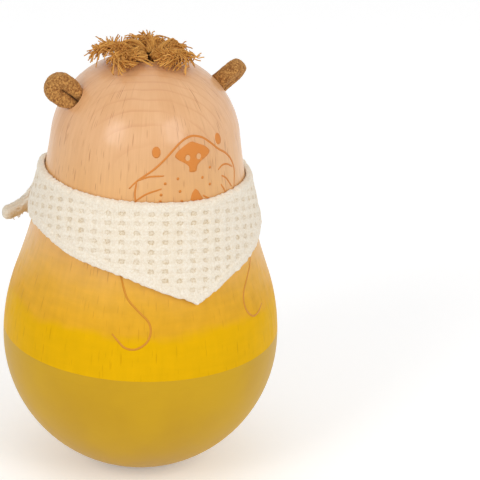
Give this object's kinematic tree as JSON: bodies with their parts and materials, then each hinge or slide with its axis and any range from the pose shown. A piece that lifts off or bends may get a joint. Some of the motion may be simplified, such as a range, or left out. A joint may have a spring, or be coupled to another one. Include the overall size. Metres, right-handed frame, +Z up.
{
  "type": "roly poly toy",
  "caption": "Pear-shaped wooden tumbler animal with a weighted round base that rights itself, cord ears, a frayed cord tuft and a tied cloth neckerchief.",
  "frame": {"origin": "centre of the flat foot, on the surface that the toy stands on", "axes": "+Z up along the turned body's axis, -Y the way the face looks, +X towards the right ear in front view"},
  "size_m": [0.08, 0.086, 0.1304],
  "materials": {
    "beech": "clear satin varnish",
    "painted_beech": "satin mustard paint",
    "steel": "plain turned",
    "cord": "soft cotton cord",
    "thread": "waxed thread",
    "cloth": "cotton waffle weave"
  },
  "bodies": {
    "toy": {"upper_body": "beech", "base_bowl": "painted_beech", "ballast_weight": "steel", "ballast_screw": "steel", "left_ear": "cord", "right_ear": "cord", "tuft_cord_1": "cord", "tuft_cord_2": "cord", "tuft_cord_3": "cord", "tuft_cord_4": "cord", "tuft_cord_5": "cord", "tuft_cord_6": "cord", "tuft_binding": "thread"},
    "scarf": {"scarf_cloth": "cloth", "scarf_knot": "cloth", "scarf_tail_left": "cloth", "scarf_tail_right": "cloth"}
  },
  "joints": [
    {"name": "scarf_turn", "type": "hinge", "parent": "toy", "child": "scarf", "pos_m": [0, 0, 0.08], "axis": [0, 0, 1], "continuous": true}
  ]
}
